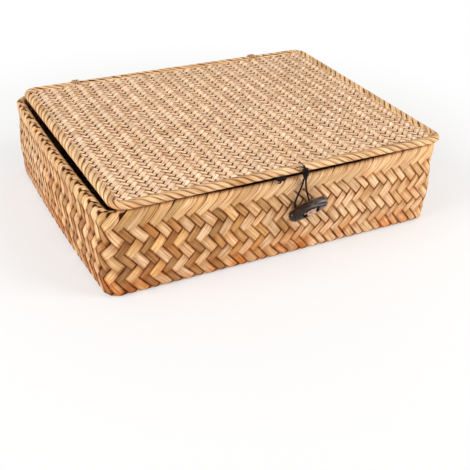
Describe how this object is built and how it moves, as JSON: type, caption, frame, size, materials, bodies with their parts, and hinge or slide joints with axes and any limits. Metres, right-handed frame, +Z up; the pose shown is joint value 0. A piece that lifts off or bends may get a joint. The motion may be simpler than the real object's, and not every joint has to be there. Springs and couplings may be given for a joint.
{
  "type": "woven lidded box",
  "caption": "Shallow plaited seagrass box with a lashed hinged lid, closed by a cord loop over a wooden toggle.",
  "frame": {"origin": "centre of the tub's flat underside", "axes": "+X to the right along the front, +Y from the front to the hinge side, +Z up"},
  "size_m": [0.3473, 0.2877, 0.0946],
  "materials": {
    "wall_grass": "satin",
    "lid_grass": "satin",
    "lining_grass": "matte",
    "rim_wire": "dull",
    "waxed_cord": "waxed",
    "tie_grass": "matte",
    "toggle_wood": "polished"
  },
  "bodies": {
    "tub": {"body_outer_shell": "wall_grass", "body_lining": "lining_grass", "body_rim_wire": "rim_wire", "body_rim_binding": "wall_grass", "rim_knot": "waxed_cord", "hinge_lashing_left": "waxed_cord", "hinge_lashing_right": "waxed_cord"},
    "lid": {"lid_panel": "lid_grass", "lid_lining": "lining_grass", "lid_rim_wire": "rim_wire", "lid_rim_binding": "lid_grass", "loop_knot": "waxed_cord"},
    "closing_loop": {"loop_cord": "waxed_cord"},
    "toggle_and_tie": {"toggle": "toggle_wood", "toggle_tie": "tie_grass"}
  },
  "joints": [
    {"name": "lid_hinge", "type": "hinge", "parent": "tub", "child": "lid", "pos_m": [0, 0.1304, 0.0879], "axis": [-1, 0, 0], "range_deg": [0, 100]},
    {"name": "loop_swing", "type": "hinge", "parent": "lid", "child": "closing_loop", "pos_m": [0.0164, -0.1366, 0.0802], "axis": [-1, 0, 0], "range_deg": [-90, 0]},
    {"name": "toggle_turn", "type": "hinge", "parent": "tub", "child": "toggle_and_tie", "pos_m": [0.0178, -0.13346, 0.0524], "axis": [0, -1, 0], "range_deg": [-90, 90]}
  ],
  "couplings": [
    {"joint": "loop_swing", "follows": "lid_hinge", "ratio": -0.9}
  ]
}
